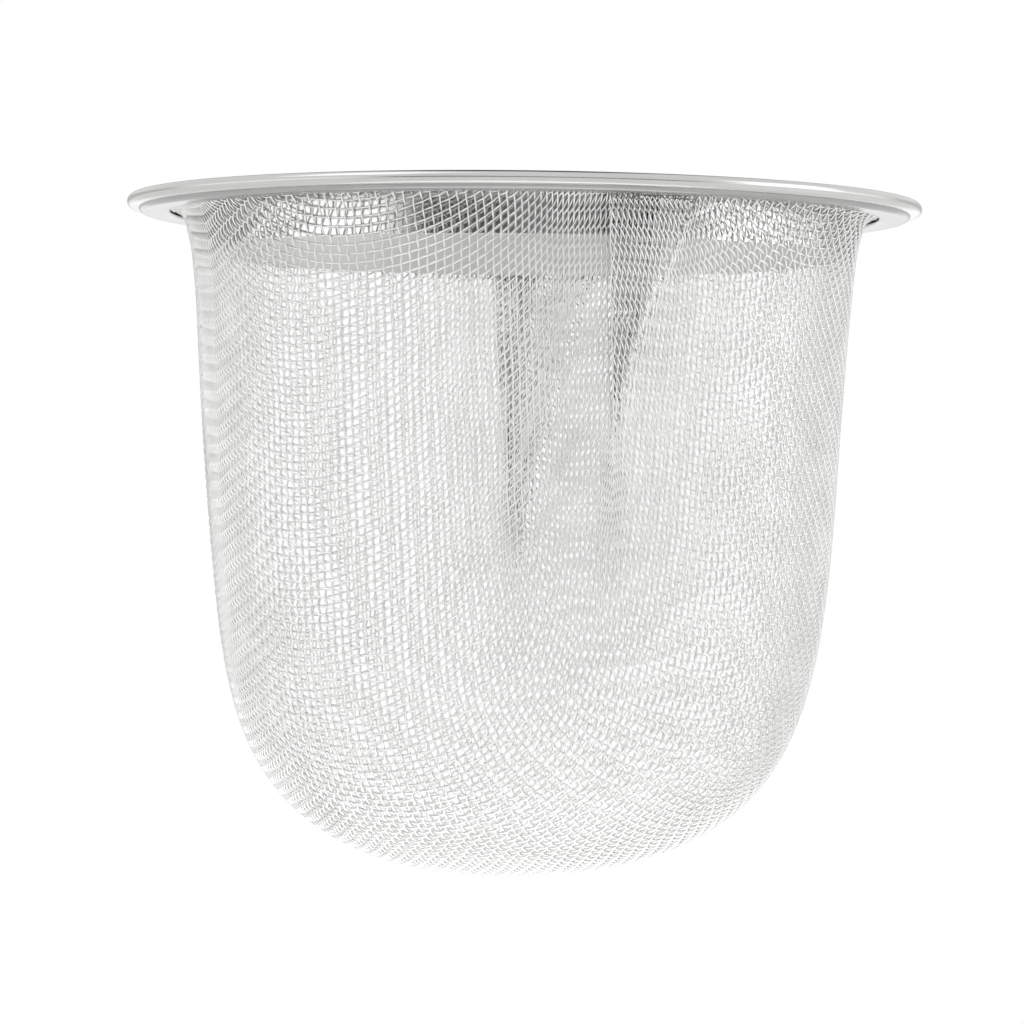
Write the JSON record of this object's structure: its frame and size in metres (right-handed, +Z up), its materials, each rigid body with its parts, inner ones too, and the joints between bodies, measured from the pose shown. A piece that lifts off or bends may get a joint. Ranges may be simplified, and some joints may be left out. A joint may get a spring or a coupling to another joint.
{
  "type": "basket strainer",
  "caption": "Deep round strainer basket of woven stainless wire pleated front and back, an inner collar and a rolled flat rim that rests on a vessel's mouth.",
  "frame": {"origin": "centre of the plane that the rim's underside rests on", "axes": "+Z up along the basket's axis, -Y the side with the shorter pleat, the pouch hanging towards -Z"},
  "size_m": [0.08, 0.08, 0.068],
  "materials": {
    "polished_steel": "polished stainless steel",
    "satin_steel": "satin stainless steel",
    "wire_cloth": "plain-weave stainless wire cloth, bright drawn wire"
  },
  "bodies": {
    "root": {"rim_top_ring": "polished_steel", "clamp_ring": "satin_steel", "collar_band": "polished_steel", "mesh_pouch": "wire_cloth", "pleat_front": "wire_cloth", "pleat_back": "wire_cloth"}
  },
  "joints": []
}
